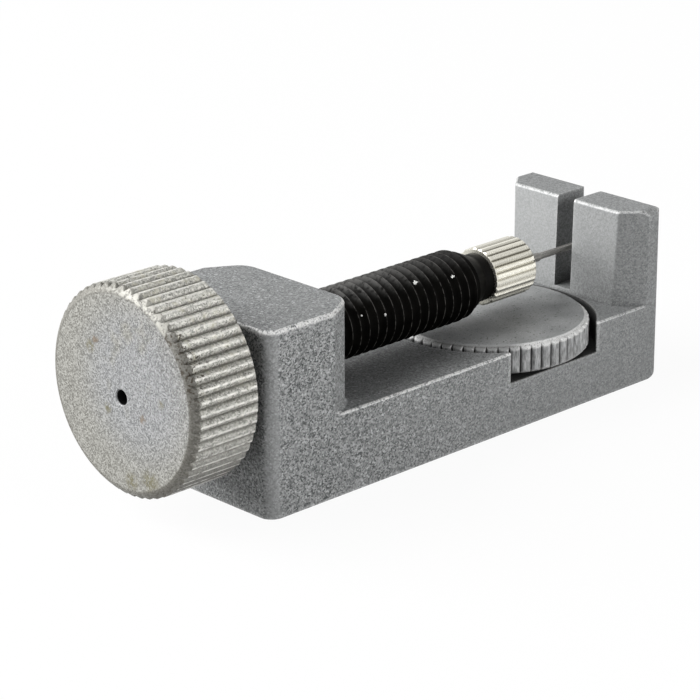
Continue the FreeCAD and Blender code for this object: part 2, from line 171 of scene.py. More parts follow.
# %% Ramps and masks
def ramp(tree, value, from_low, from_high, to_low, to_high, interpolation="LINEAR"):
    """A value carried from one range to another and held at both ends."""
    node = tree.nodes.new("ShaderNodeMapRange")
    node.interpolation_type = interpolation
    node.inputs["From Min"].default_value = from_low
    node.inputs["From Max"].default_value = from_high
    node.inputs["To Min"].default_value = to_low
    node.inputs["To Max"].default_value = to_high
    tree.links.new(value, node.inputs["Value"])
    return node.outputs["Result"]


def mask(tree, value, low, high):
    """0 at low, 1 at high and smooth between; low may be the larger of the two."""
    if low < high:
        return ramp(tree, value, low, high, 0.0, 1.0, "SMOOTHSTEP")
    return ramp(tree, value, high, low, 1.0, 0.0, "SMOOTHSTEP")


def spread(tree, value, low, high):
    """The noise's useful middle, 0.3 to 0.7, spread evenly from low to high."""
    return ramp(tree, value, 0.3, 0.7, low, high)


# %% Where a point lies and which way it faces
def object_coordinates(tree, stretch=(1, 1, 1)):
    """Object coordinates; a number below 1 draws a pattern out along its axis."""
    coordinates = tree.nodes.new("ShaderNodeTexCoord")
    mapping = tree.nodes.new("ShaderNodeMapping")
    mapping.inputs["Scale"].default_value = stretch
    tree.links.new(coordinates.outputs["Object"], mapping.inputs["Vector"])
    return mapping.outputs["Vector"]


def along(tree, place, axis):
    """How far a point lies along X, Y or Z."""
    split = tree.nodes.new("ShaderNodeSeparateXYZ")
    tree.links.new(place, split.inputs["Vector"])
    return arithmetic(tree, "MULTIPLY", split.outputs[axis], 1 / MM)


def facing(tree, axis):
    """How much the surface faces along X, Y or Z, from -1 to 1."""
    split = tree.nodes.new("ShaderNodeSeparateXYZ")
    normal = tree.nodes.new("ShaderNodeNewGeometry").outputs["Normal"]
    tree.links.new(normal, split.inputs["Vector"])
    return split.outputs[axis]


def distance_from(tree, place, centre, stretch=(1, 1, 1)):
    """How far a point is from a centre; a stretch of 0 drops a direction."""
    offset = tree.nodes.new("ShaderNodeVectorMath")
    offset.operation = "SUBTRACT"
    tree.links.new(place, offset.inputs[0])
    offset.inputs[1].default_value = [c * MM for c in centre]
    scaled = tree.nodes.new("ShaderNodeVectorMath")
    scaled.operation = "MULTIPLY"
    tree.links.new(offset.outputs["Vector"], scaled.inputs[0])
    scaled.inputs[1].default_value = [s / MM for s in stretch]
    length = tree.nodes.new("ShaderNodeVectorMath")
    length.operation = "LENGTH"
    tree.links.new(scaled.outputs["Vector"], length.inputs[0])
    return length.outputs["Value"]


# %% Noise and flakes
def grain(tree, place, size, detail=2.0, roughness=0.5):
    """Noise whose blobs are about as wide as the size."""
    noise = tree.nodes.new("ShaderNodeTexNoise")
    noise.inputs["Scale"].default_value = 1 / (size * MM)
    noise.inputs["Detail"].default_value = detail
    noise.inputs["Roughness"].default_value = roughness
    tree.links.new(place, noise.inputs["Vector"])
    return noise.outputs["Fac"]


def flakes(tree, place, size):
    """A value from 0 to 1 that is the same over each flake, and random from flake to flake."""
    cells = tree.nodes.new("ShaderNodeTexVoronoi")
    cells.inputs["Scale"].default_value = 1 / (size * MM)
    tree.links.new(place, cells.inputs["Vector"])
    split = tree.nodes.new("ShaderNodeSeparateColor")
    tree.links.new(cells.outputs["Color"], split.inputs["Color"])
    return split.outputs["Red"]


# %% Colours and relief
def blend_colours(tree, amount, below, above, share=1.0):
    """The colour below where amount is 0, and at most a share of the colour above."""
    node = tree.nodes.new("ShaderNodeMix")
    node.data_type = "RGBA"
    if share < 1:
        amount = weaker(tree, amount, share)
    tree.links.new(amount, node.inputs["Factor"])
    for name, colour in (("A", below), ("B", above)):
        socket = next(s for s in node.inputs if s.name == name and s.type == "RGBA")
        if isinstance(colour, tuple):
            socket.default_value = (*colour, 1.0)
        else:
            tree.links.new(colour, socket)
    return next(s for s in node.outputs if s.type == "RGBA")


def relief(tree, shader, height, depth, strength):
    """Bump of a given depth on the shader's normal."""
    bump = tree.nodes.new("ShaderNodeBump")
    bump.inputs["Strength"].default_value = strength
    bump.inputs["Distance"].default_value = depth * MM
    tree.links.new(height, bump.inputs["Height"])
    tree.links.new(bump.outputs["Normal"], shader.inputs["Normal"])


# %% Edges and hollows
def blocked_rays(tree, reach, inside):
    """The share of short rays that meet another face, sent into the metal or out of it."""
    rays = tree.nodes.new("ShaderNodeAmbientOcclusion")
    rays.inside = inside
    rays.only_local = True
    rays.samples = 8
    rays.inputs["Distance"].default_value = reach * MM
    return arithmetic(tree, "SUBTRACT", 1.0, rays.outputs["AO"])


def outer_edges(tree, reach):
    """How near an outer edge is: rays sent inwards there soon meet the next face."""
    return blocked_rays(tree, reach, inside=True)


def hollows(tree, reach):
    """How deep a point lies in an inner corner or a groove."""
    return blocked_rays(tree, reach, inside=False)


# %% [markdown]
# The casting wears a grey metallic paint. Seen close it is a pepper of light and dark flakes
# about 0.15 mm across, coarse on the block, plainer towards the anvil and on the faces that
# look up. Smooth noise could stand for it, but its blobs look like cloud, so a cell texture
# gives each flake one value of its own, and that value sets its colour and its roughness.

# %% Places on the casting
frame_low, frame_high = [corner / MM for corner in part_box("frame")]
FLOOR_HEIGHT = 9.0
BLOCK_FRONT = -16.55
ANVIL_FACE = 24.5
COARSE_UP_TO = -18.0
PLAIN_FROM = 16.0
print("casting from", round(frame_low.x, 2), "to", round(frame_high.x, 2), "mm along the screw")

# %% Grain of the paint
FLAKE_SIZE = 0.155
COARSE_FLAKES = ((0.03, 0.034, 0.034), (0.335, 0.34, 0.34))
PLAIN_FLAKES = ((0.125, 0.13, 0.13), (0.225, 0.23, 0.23))
PAINT_DRIFT = (0.15, 0.155, 0.155)
PAINT_GLINT = (0.46, 0.47, 0.47)


def paint_grain(tree, place, x, up, pepper):
    """The paint's colour: flakes, a slow drift under them and a few glints."""
    coarse = blend_colours(tree, pepper, *COARSE_FLAKES)
    plain = blend_colours(tree, pepper, *PLAIN_FLAKES)
    towards_anvil = ramp(tree, x, COARSE_UP_TO, PLAIN_FROM, 0.0, 0.9)
    plainer = any_of(tree, towards_anvil, ramp(tree, up, 0.5, 0.9, 0.0, 0.55))
    ground = blend_colours(tree, plainer, coarse, plain)
    drift = spread(tree, grain(tree, place, 4.5, detail=3.0), 0.0, 0.35)
    drifted = blend_colours(tree, drift, ground, PAINT_DRIFT)
    sparkle = mask(tree, flakes(tree, place, FLAKE_SIZE * 1.3), 0.95, 0.97)
    glints = all_of(tree, sparkle, ramp(tree, x, -16, 20, 0.6, 0.12))
    return blend_colours(tree, glints, drifted, PAINT_GLINT)


# %% [markdown]
# Use has marked the paint. The anvil's inner faces are rubbed to an even grey, and painted
# light makes them lighter high up and on the far post. A painted highlight, partly wear,
# lightens the block's rounded rear corner. Edges that look partly up are worn to bright metal
# in broken islands, and the other edges only a little. Such places could be painted by hand,
# but here they are found from where a point lies and how it faces, and the edges by short
# rays sent into the metal, because rays find an edge on any mesh, however its triangles are
# laid out.

# %% Rubbed places, painted light and worn edges
RUBBED_AND_LIT_ANVIL = (0.33, 0.335, 0.335)
HEEL_WEAR_AND_HIGHLIGHT = (0.25, 0.255, 0.255)
BARE_METAL = (0.66, 0.66, 0.65)


def rubbed_and_lit_places(tree, paint, x, y, z, up, forward):
    """The paint, with painted light on the rubbed anvil faces and a painted highlight on the rear
    corner.
    """
    # The inner faces look back along the screw; painted light lightens them high up and on the far
    # post.
    inner_face = all_of(tree, mask(tree, x, ANVIL_FACE - 4.5, ANVIL_FACE - 2.5),
                        mask(tree, forward, -0.55, -0.95))
    lit_far_and_high = all_of(tree, ramp(tree, y, -3, 3, 0.27, 0.50), ramp(tree, z, 8, 15, 0.3, 1.0))
    rubbed_and_lit = blend_colours(tree, all_of(tree, inner_face, lit_far_and_high), paint, RUBBED_AND_LIT_ANVIL)
    # A painted highlight, partly wear, lightens the block's rounded rear corner.
    heel_highlight = all_of(tree, mask(tree, x, frame_low.x + 1.65, frame_low.x + 1.05),
                  mask(tree, y, frame_low.y + 2.0, frame_low.y + 1.4),
                  mask(tree, up, 0.5, 0.2), mask(tree, forward, -0.98, -0.85))
    return blend_colours(tree, heel_highlight, rubbed_and_lit, HEEL_WEAR_AND_HIGHLIGHT, share=0.6)


def worn_edges(tree, place, x, z, up):
    """A mask of the edges where the paint is worn through."""
    # A brow lies between a side and a top, so it leans upwards without being level.
    edge = outer_edges(tree, 0.5)
    brow = all_of(tree, mask(tree, up, 0.10, 0.35), mask(tree, up, 0.985, 0.93),
                  mask(tree, edge, 0.05, 0.12))
    below_top = all_of(tree, mask(tree, z, frame_high.z - 0.65, frame_high.z - 0.25),
                       mask(tree, up, 0.97, 0.9),
                       mask(tree, x, BLOCK_FRONT + 0.55, BLOCK_FRONT - 0.95))
    bright = weaker(tree, any_of(tree, brow, below_top), 0.85)
    wear = any_of(tree, bright, ramp(tree, edge, 0.16, 0.36, 0.0, 0.22))
    islands = mask(tree, grain(tree, place, 0.25, detail=3.0, roughness=0.6), 0.34, 0.56)
    return all_of(tree, wear, islands, ramp(tree, x, 18, 24, 1.0, 0.6))


# %% [markdown]
# Painted shade darkens the inner corners, the wheel's pocket, which is almost black, and the
# floor under the screw. Rays sent outwards tell how closed in a point is, but they would need
# many samples for the wide pocket, so the pocket and the floor are found from their sizes
# instead.

# %% The wheel, its pocket and the painted shade
wheel_low, wheel_high = [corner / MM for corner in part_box("height_wheel")]
WHEEL_RADIUS = (wheel_high.y - wheel_low.y) / 2
WHEEL_AXIS = (wheel_low.x + wheel_high.x) / 2
POCKET_RADIUS = WHEEL_RADIUS + 0.8
POCKET_FLOOR = wheel_low.z - 0.6
SHADE_BLACK = (0.012, 0.012, 0.0115)
print("wheel radius", round(WHEEL_RADIUS, 2), "mm, pocket floor at", round(POCKET_FLOOR, 2))


def painted_shade(tree, place, x, y, z, up):
    """A mask of painted shade: in inner corners, in the wheel's pocket and on the floor under the
    screw.
    """
    to_wheel_axis = distance_from(tree, place, (WHEEL_AXIS, 0, 0), (1, 1, 0))
    in_pocket = all_of(tree, mask(tree, z, POCKET_FLOOR - 0.15, POCKET_FLOOR - 0.05),
                       mask(tree, to_wheel_axis, POCKET_RADIUS + 0.12, POCKET_RADIUS + 0.03))
    on_floor = all_of(tree, mask(tree, up, 0.90, 0.97),
                      mask(tree, z, FLOOR_HEIGHT + 0.3, FLOOR_HEIGHT + 0.1),
                      mask(tree, x, 6, -3), mask(tree, y, frame_low.y + 0.6, frame_low.y + 3.0))
    # Painted shade in inner corners, in the pocket and on the floor under the screw.
    closed_in = mask(tree, hollows(tree, 3.0), 0.42, 0.85)
    return weaker(tree, any_of(tree, closed_in, in_pocket, weaker(tree, on_floor, 0.36)), 0.88)


# %% The casting's finish
def casting_paint():
    """Grey metallic paint, rubbed, with painted light and shade, and worn through at its edges."""
    material, tree, shader = new_finish("casting_paint")
    place = object_coordinates(tree)
    x, y, z = [along(tree, place, axis) for axis in "XYZ"]
    up, forward = facing(tree, "Z"), facing(tree, "X")
    pepper = flakes(tree, place, FLAKE_SIZE)
    paint = paint_grain(tree, place, x, up, pepper)
    rubbed_and_lit = rubbed_and_lit_places(tree, paint, x, y, z, up, forward)
    # Painted shade darkens the corners, the pocket and the floor under the screw.
    in_painted_shade = blend_colours(tree, painted_shade(tree, place, x, y, z, up), rubbed_and_lit, SHADE_BLACK)
    colour = blend_colours(tree, worn_edges(tree, place, x, z, up), in_painted_shade, BARE_METAL)
    coat(tree, shader, colour, ramp(tree, pepper, 0, 1, 0.66, 0.54), metallic=0.28, specular=0.32)
    relief(tree, shader, grain(tree, place, 0.15), depth=0.02, strength=0.5)
    return material


# %% [markdown]
# The screw is blackened steel. The oxide is nearly black with almost no shine. The sharp
# crests carry thin light lines, partly rubbed metal and partly painted glints, grey dust with a
# painted sheen lies in streaks on the upward side, mostly near the block, and a few bright
# chips of metal cling to the flanks. Edge rays could find the crests, but on a screw a point's
# distance from the axis tells crest from root without any noise, and its height tells top
# from side.

# %% Places on the screw
screw_low, screw_high = [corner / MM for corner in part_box("lead_screw")]
THREAD_RADIUS = (screw_high.z - screw_low.z) / 2
AXIS_HEIGHT = (screw_low.z + screw_high.z) / 2
CHIPS = [
    ((-1.51, -2.37, 16.78), 0.22),
    ((3.59, -2.90, 16.36), 0.19),
    ((-7.42, -3.82, 15.00), 0.15),
    ((-10.30, -3.17, 15.44), 0.12),
]
print("screw radius", round(THREAD_RADIUS, 2), "mm, axis at", round(AXIS_HEIGHT, 2), "mm")


def from_screw_axis(tree, place):
    """How far a point is from the screw's axis."""
    return distance_from(tree, place, (0, 0, AXIS_HEIGHT), (0, 1, 1))


# %% The screw's black oxide
OXIDE = ((0.0016, 0.0015, 0.0013), (0.0045, 0.0042, 0.0036))
CREST_LINE_AND_GLINT = (0.10, 0.097, 0.09)
DUST_AND_SHEEN = (0.12, 0.118, 0.114)
BRIGHT_CHIP = (0.93, 0.93, 0.90)


def dust_and_sheen_on_crests(tree, place, axis_distance):
    """A mask of dust and painted sheen in streaks on top of the screw, thickest near the block."""
    streaks = grain(tree, object_coordinates(tree, stretch=(0.14, 1, 1)), 0.5)
    upward = mask(tree, along(tree, place, "Z"), AXIS_HEIGHT + 2.2, AXIS_HEIGHT + 3.8)
    near_block = ramp(tree, along(tree, place, "X"), BLOCK_FRONT, 4, 1.0, 0.12)
    on_crest = ramp(tree, axis_distance, THREAD_RADIUS - 0.50, THREAD_RADIUS - 0.10, 0.25, 1.0)
    return all_of(tree, upward, near_block, on_crest, mask(tree, streaks, 0.26, 0.56))


def chips_of_metal(tree, place):
    """A mask of small bright chips with torn outlines."""
    torn = grain(tree, place, 0.12, detail=1.0)
    chips = []
    for centre, radius in CHIPS:
        fray = spread(tree, torn, -0.5 * radius, 0.5 * radius)
        frayed = arithmetic(tree, "ADD", distance_from(tree, place, centre), fray)
        chips.append(mask(tree, frayed, radius, radius * 0.7))
    return any_of(tree, *chips)


def black_oxide():
    """Blackened steel with crest lines of rubbed metal and painted glints, dust with a painted
    sheen, and chips.
    """
    material, tree, shader = new_finish("black_oxide")
    place = object_coordinates(tree)
    drift = grain(tree, place, 1.5, detail=3.0)
    oxide = blend_colours(tree, spread(tree, drift, 0, 1), *OXIDE)
    axis_distance = from_screw_axis(tree, place)
    # Crest lines: partly rubbed metal, partly painted glints.
    crest = mask(tree, axis_distance, THREAD_RADIUS - 0.07, THREAD_RADIUS - 0.02)
    rubbed_and_lit = all_of(tree, crest, mask(tree, grain(tree, place, 0.6), 0.35, 0.65))
    lined_and_glinted = blend_colours(tree, rubbed_and_lit, oxide, CREST_LINE_AND_GLINT, share=0.5)
    # Dust with a painted sheen on top of the screw.
    dusty_and_sheened = blend_colours(tree, dust_and_sheen_on_crests(tree, place, axis_distance), lined_and_glinted, DUST_AND_SHEEN)
    colour = blend_colours(tree, chips_of_metal(tree, place), dusty_and_sheened, BRIGHT_CHIP)
    coat(tree, shader, colour, spread(tree, drift, 0.40, 0.55), metallic=0.0, specular=0.03)
    relief(tree, shader, grain(tree, place, 0.18), depth=0.012, strength=0.4)
    return material


# %% [markdown]
# The knob was plated in a dull grey that has aged. Its face is finely speckled, cooler in the
# middle and yellower towards the rim, with a few olive and brown spots. The spots could come
# from noise alone, but then they would fall anywhere, so each has its own centre and only
# its ragged outline comes from noise.

# %% Places on the knob
knob_low, knob_high = [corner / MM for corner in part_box("knob")]
KNOB_RADIUS = (knob_high.z - knob_low.z) / 2
KNOB_FACE = knob_low.x
FACE_RADIUS = KNOB_RADIUS - 0.85
HOLE_DROP = -0.5
HOLE_CENTRE = (KNOB_FACE, 0, AXIS_HEIGHT + HOLE_DROP)
COOL_MIDDLE = (KNOB_FACE, -2.5, AXIS_HEIGHT + 1.5)
CHIPPED_RIM = (KNOB_FACE, -3.9, AXIS_HEIGHT + 10.0)
SOILED_RIM = (KNOB_FACE, -10.5, AXIS_HEIGHT - 2.5)
GRITTY_PLACE = (KNOB_FACE + 0.4, -9.2, AXIS_HEIGHT + 5.2)
OLIVE_SPOTS = [
    ((2.2, 11.8), 0.75),
    ((-6.0, 14.4), 0.6),
    ((-4.1, 5.7), 1.6),
    ((-1.2, 4.9), 1.2),
    ((4.6, 17.8), 0.9),
]
BROWN_SPOTS = [((-3.0, 12.0), 0.6), ((3.9, 18.6), 0.5)]
print("knob radius", round(KNOB_RADIUS, 2), "mm, face at", round(KNOB_FACE, 2), "mm")

# %% The knob's stained face
COOL_FLAKES = ((0.100, 0.103, 0.105), (0.310, 0.313, 0.315))
WARM_FLAKES = ((0.095, 0.092, 0.080), (0.310, 0.307, 0.283))
OLIVE = (0.105, 0.095, 0.05)
BROWN = (0.125, 0.088, 0.055)


def spots(tree, place, ragged, centres):
    """A mask of ragged spots on the knob's face, from their centres (Y, Z) and radii."""
    found = []
    for (y, z), radius in centres:
        fray = spread(tree, ragged, -0.6 * radius, 0.6 * radius)
        frayed = arithmetic(tree, "ADD", distance_from(tree, place, (KNOB_FACE, y, z)), fray)
        found.append(mask(tree, frayed, radius, radius * 0.3))
    return any_of(tree, *found)


def stained_face(tree, place, fine, ragged):
    """The face's colour: cool and warm flakes with olive and brown spots."""
    far_out = mask(tree, distance_from(tree, place, COOL_MIDDLE), 4.0, 10.5)
    drift = grain(tree, place, 3.0, detail=3.0)
    yellowed = any_of(tree, far_out, mask(tree, drift, 0.50, 0.72))
    cool = blend_colours(tree, fine, *COOL_FLAKES)
    face = blend_colours(tree, yellowed, cool, blend_colours(tree, fine, *WARM_FLAKES))
    olive = all_of(tree, spots(tree, place, ragged, OLIVE_SPOTS), mask(tree, ragged, 0.36, 0.52))
    spotted = blend_colours(tree, olive, face, OLIVE, share=0.85)
    return blend_colours(tree, spots(tree, place, ragged, BROWN_SPOTS), spotted, BROWN, share=0.75)


# %% [markdown]
# Fingers have polished the ribs, which are paler than the face. Grease smears and painted
# light make their upper side lighter, painted shade darkens the lower side, and the grooves
# are darker. Distance from the axis tells crest from groove here too. Height tells the upper
# side from the lower at rest, and because Object coordinates turn with the knob, the painted
# light and shade turn with it.

# %% The knob's ribs
POLISHED_FLAKES = ((0.17, 0.167, 0.152), (0.56, 0.555, 0.512))
GREASE_AND_LIGHT = (0.38, 0.365, 0.295)
LOWER_SHADE = (0.09, 0.088, 0.08)
GROOVE_DARK = (0.07, 0.067, 0.055)


def lit_and_shaded_ribs(tree, place, fine, from_axis, behind_face, face):
    """The face's colour over the ribs: polished, lit above by grease and painted light, shaded
    below.
    """
    z = along(tree, place, "Z")
    ribbed = blend_colours(tree, behind_face, face, blend_colours(tree, fine, *POLISHED_FLAKES))
    # Grease smears and painted light make the upper side lighter.
    high = ramp(tree, z, AXIS_HEIGHT - 1, AXIS_HEIGHT + 5, 0.15, 0.75)
    smears = mask(tree, grain(tree, place, 1.1, detail=4.0, roughness=0.65), 0.50, 0.68)
    greased_and_lit = blend_colours(tree, all_of(tree, behind_face, high, smears), ribbed, GREASE_AND_LIGHT)
    # Painted shade darkens the lower side.
    low = ramp(tree, z, AXIS_HEIGHT - 8, AXIS_HEIGHT + 2, 0.92, 0.0)
    shaded_below = blend_colours(tree, all_of(tree, behind_face, low), greased_and_lit, LOWER_SHADE)
    # The grooves are darker.
    deep = mask(tree, from_axis, KNOB_RADIUS - 0.2, KNOB_RADIUS - 0.42)
    return blend_colours(tree, all_of(tree, behind_face, deep), shaded_below, GROOVE_DARK, share=0.6)


# %% [markdown]
# The bevelled rim between face and ribs has one long chip that shows cream, soiled stretches,
# and crumbs of dirt packed in beside it. Small specks lie everywhere, fewer on the face, and
# painted highlights, partly rubbed wear, make the crests of the ribs pale. The hole's wall is
# painted black as shade. A second material on the rim would change at a hard line, so the rim
# is told from the face and the ribs by its distance from the axis, and one colour runs into
# the next.

# %% The knob's rim, grit and crests
CREAM_CHIP = (0.27, 0.265, 0.24)
SOILED = (0.07, 0.065, 0.052)
GRIT = (0.04, 0.032, 0.022)
PALE_CREST_HIGHLIGHT = (0.72, 0.71, 0.67)
HOLE_SHADE = (0.006, 0.006, 0.006)


def chipped_rim(tree, place, ragged, on_rim, colour):
    """The colour with the rim soiled, and chipped to cream in one place."""
    to_soiled = distance_from(tree, place, SOILED_RIM)
    darkened_patch = all_of(tree, on_rim, ramp(tree, to_soiled, 9.5, 12.5, 0.7, 0.5))
    chipped = all_of(tree, on_rim, mask(tree, distance_from(tree, place, CHIPPED_RIM), 4.1, 3.3),
                     mask(tree, ragged, 0.40, 0.48))
    return blend_colours(tree, chipped, blend_colours(tree, darkened_patch, colour, SOILED), CREAM_CHIP)


def grit(tree, place, on_side):
    """A mask of dark specks all over and of crumbs packed beside the rim."""
    specks = all_of(tree, mask(tree, grain(tree, place, 0.26, detail=1.5), 0.68, 0.74), on_side)
    to_crumbs = distance_from(tree, place, GRITTY_PLACE, (2.2, 1, 1))
    crumbs = all_of(tree, mask(tree, grain(tree, place, 0.32), 0.55, 0.60),
                    mask(tree, to_crumbs, 4.6, 3.4), on_side)
    return any_of(tree, specks, crumbs)


# %% The knob's finish
def dull_plating():
    """Aged grey plating: stained face, lit and shaded ribs, chipped rim, grit, painted crest
    highlights.
    """
    material, tree, shader = new_finish("dull_plating")
    place = object_coordinates(tree)
    x = along(tree, place, "X")
    from_axis = from_screw_axis(tree, place)
    fine = flakes(tree, place, FLAKE_SIZE)
    ragged = grain(tree, place, 0.7, detail=3.0, roughness=0.6)
    behind_face = mask(tree, x, KNOB_FACE + 0.65, KNOB_FACE + 0.95)
    on_rim = all_of(tree, mask(tree, from_axis, FACE_RADIUS - 0.30, FACE_RADIUS - 0.05),
                    mask(tree, behind_face, 0.9, 0.3))
    on_side = ramp(tree, any_of(tree, behind_face, on_rim), 0, 1, 0.3, 1.0)
    face = stained_face(tree, place, fine, ragged)
    ribbed = lit_and_shaded_ribs(tree, place, fine, from_axis, behind_face, face)
    rimmed = chipped_rim(tree, place, ragged, on_rim, ribbed)
    gritty = blend_colours(tree, grit(tree, place, on_side), rimmed, GRIT)
    # Painted highlights, partly rubbed wear, make the crests pale.
    rubbed_and_lit = all_of(tree, mask(tree, from_axis, KNOB_RADIUS - 0.06, KNOB_RADIUS - 0.015),
                    mask(tree, ragged, 0.34, 0.54))
    highlighted_crests = blend_colours(tree, rubbed_and_lit, gritty, PALE_CREST_HIGHLIGHT, share=0.65)
    # The hole's wall is painted black as shade.
    to_hole = distance_from(tree, place, HOLE_CENTRE, (0, 1, 1))
    hole_shade = all_of(tree, mask(tree, to_hole, 0.86, 0.82),
                     mask(tree, x, KNOB_FACE + 0.1, KNOB_FACE + 0.25))
    colour = blend_colours(tree, hole_shade, highlighted_crests, HOLE_SHADE)
    coat(tree, shader, colour, ramp(tree, fine, 0, 1, 0.60, 0.44), metallic=0.35, specular=0.5)
    relief(tree, shader, grain(tree, place, 0.16, detail=3.0, roughness=0.7), 0.05, 0.8)
    return material


# %% [markdown]
# The cap is plated in bright nickel, which looks warm beside the grey casting. Its grooves
# hold a little tarnish. Painted shade darkens the grooves and the plating above and below a
# bright strip at half its height, and darkens its underside most. A plain mirror finish would
# show only the white room, so the plating is a little rough, and the tarnish and painted shade
# in the grooves give the ribs their lines.

# %% The cap's bright nickel
cap_low, cap_high = [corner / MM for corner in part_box("pin_cap")]
CAP_REAR = cap_low.x
CAP_RADIUS = (cap_high.z - cap_low.z) / 2
NICKEL = ((0.72, 0.70, 0.62), (0.78, 0.76, 0.68))
SHADED_NICKEL = (0.30, 0.29, 0.25)
TARNISH_AND_SHADE = (0.13, 0.12, 0.097)
print("cap radius", round(CAP_RADIUS, 2), "mm, rear at", round(CAP_REAR, 2), "mm")


def bright_nickel():
    """Warm bright plating, tarnished in its grooves, in painted shade above, below and underneath.
    """
    material, tree, shader = new_finish("bright_nickel")
    place = object_coordinates(tree)
    fine = grain(tree, place, 0.15)
    plate = blend_colours(tree, spread(tree, fine, 0, 1), *NICKEL)
    ribbed = mask(tree, along(tree, place, "X"), CAP_REAR + 0.1, CAP_REAR + 0.25)
    off_middle = distance_from(tree, place, (0, 0, AXIS_HEIGHT), (0, 0, 1))
    groove = mask(tree, from_screw_axis(tree, place), CAP_RADIUS - 0.08, CAP_RADIUS - 0.21)
    # Painted shade makes the grooves' tarnish stronger away from the middle.
    tarnish_and_shade = all_of(tree, ribbed, ramp(tree, off_middle, 0.4, 2.6, 0.45, 1.0), groove)
    z = along(tree, place, "Z")
    # Painted shade: duller above and below the middle, and darker underneath.
    shade_underneath = ramp(tree, z, AXIS_HEIGHT - 3.0, AXIS_HEIGHT - 0.6, 0.98, 0.0)
    cap_shade = any_of(tree, ramp(tree, off_middle, 1.0, 3.0, 0.0, 0.55), shade_underneath)
    cap_shaded = blend_colours(tree, cap_shade, plate, SHADED_NICKEL)
    colour = blend_colours(tree, tarnish_and_shade, cap_shaded, TARNISH_AND_SHADE)
    coat(tree, shader, colour, spread(tree, fine, 0.20, 0.32), metallic=0.9, specular=0.5)
    relief(tree, shader, fine, depth=0.003, strength=0.3)
    return material


# %% [markdown]
# The wheel, its stud and the pin are plain steel, satin from turning, with soft clouds and a
# scatter of small dark specks, darker in their hollows; the pin is the darkest. The wheel has
# more to it: its bevel is rubbed bright except for one arc in a painted shadow, and its ribs
# are scored, with darker notches between them. Three separate finishes would say most things
# three times, so one function makes all three steels, and the wheel's rim is a second one
# that goes over it.

# %% Colours of steel
PIN_SHADES = ((0.16, 0.155, 0.145), (0.24, 0.235, 0.22))
WHEEL_SHADES = ((0.19, 0.195, 0.195), (0.27, 0.275, 0.275))
STUD_SHADES = ((0.22, 0.22, 0.22), (0.32, 0.32, 0.315))
SPECK = (0.03, 0.03, 0.028)
DARK_IN_HOLLOWS = (0.05, 0.05, 0.048)
WORN_STEEL = (0.70, 0.70, 0.69)
SCORED_STEEL = ((0.07, 0.07, 0.07), (0.40, 0.405, 0.405))
BEVEL_SHADOW = (0.06, 0.06, 0.058)
NOTCH_DARK = (0.035, 0.035, 0.034)
INNER_BEVEL = WHEEL_RADIUS - 0.62
SHADOWED_ARC = (3.2, -6.5, 0)
print("the wheel's bevel starts", round(INNER_BEVEL, 2), "mm from its axis")


# %% The wheel's scored rim
def scored_rim(tree, place, fine, steel, worn):
    """The wheel's steel and wear, with a bright bevel, an arc of painted shadow and scored ribs.
    """
    z = along(tree, place, "Z")
    from_axis = distance_from(tree, place, (WHEEL_AXIS, 0, 0), (1, 1, 0))
    # The bevel and the ribs' upper ends are bright, and the notches between them are darker.
    bevel = all_of(tree, mask(tree, from_axis, INNER_BEVEL, INNER_BEVEL + 0.12),
                   mask(tree, fine, 0.30, 0.50),
                   mask(tree, z, wheel_high.z - 0.75, wheel_high.z - 0.45))
    # Painted shadow: an arc of the bevel is darkened and less bright.
    darkened_patch = mask(tree, distance_from(tree, place, SHADOWED_ARC, (1, 1, 0)), 6.5, 3.5)
    worn = all_of(tree, any_of(tree, worn, weaker(tree, bevel, 0.75)),
                  ramp(tree, darkened_patch, 0, 1, 1.0, 0.25))
    arc_shadow = all_of(tree, bevel, weaker(tree, darkened_patch, 0.6))
    steel = blend_colours(tree, arc_shadow, steel, BEVEL_SHADOW)
    scored = grain(tree, object_coordinates(tree, stretch=(1, 1, 0.2)), 0.2, 3.0, 0.6)
    torn = blend_colours(tree, spread(tree, scored, 0, 1), *SCORED_STEEL)
    on_side = mask(tree, facing(tree, "Z"), 0.5, 0.2)
    steel = blend_colours(tree, on_side, steel, torn, share=0.8)
    notch = all_of(tree, mask(tree, from_axis, INNER_BEVEL + 0.46, INNER_BEVEL + 0.30),
                   mask(tree, z, wheel_high.z - 0.12, wheel_high.z - 0.22))
    return blend_colours(tree, notch, steel, NOTCH_DARK, share=0.85), worn


# %% Satin steel
def satin_steel(name, shades, roughness, metallic, rim=None):
    """Steel in clouds of a dark and a light shade, with a finish over its rim if it has one."""
    material, tree, shader = new_finish(name)
    place = object_coordinates(tree)
    clouds = grain(tree, place, 3.0, detail=3.0)
    fine = grain(tree, place, 0.12, roughness=0.6)
    clouded = blend_colours(tree, spread(tree, clouds, 0, 1), *shades)
    lit = tuple(c * 1.7 for c in shades[1])
    flecked = blend_colours(tree, mask(tree, fine, 0.55, 0.80), clouded, lit)
    specks = mask(tree, grain(tree, place, 0.24, detail=1.0), 0.665, 0.70)
    specked = blend_colours(tree, specks, flecked, SPECK, share=0.8)
    # Darker in the hollows.
    steel = blend_colours(tree, mask(tree, hollows(tree, 0.5), 0.40, 0.9), specked, DARK_IN_HOLLOWS)
    edge = mask(tree, outer_edges(tree, 0.4), 0.14, 0.34)
    worn = weaker(tree, all_of(tree, edge, mask(tree, fine, 0.36, 0.60)), 0.6)
    if rim is not None:
        steel, worn = rim(tree, place, fine, steel, worn)
    colour = blend_colours(tree, worn, steel, WORN_STEEL)
    satin = spread(tree, clouds, roughness - 0.04, roughness + 0.05)
    coat(tree, shader, colour, satin, metallic, specular=0.3)
    relief(tree, shader, fine, depth=0.01, strength=0.4)
    return material


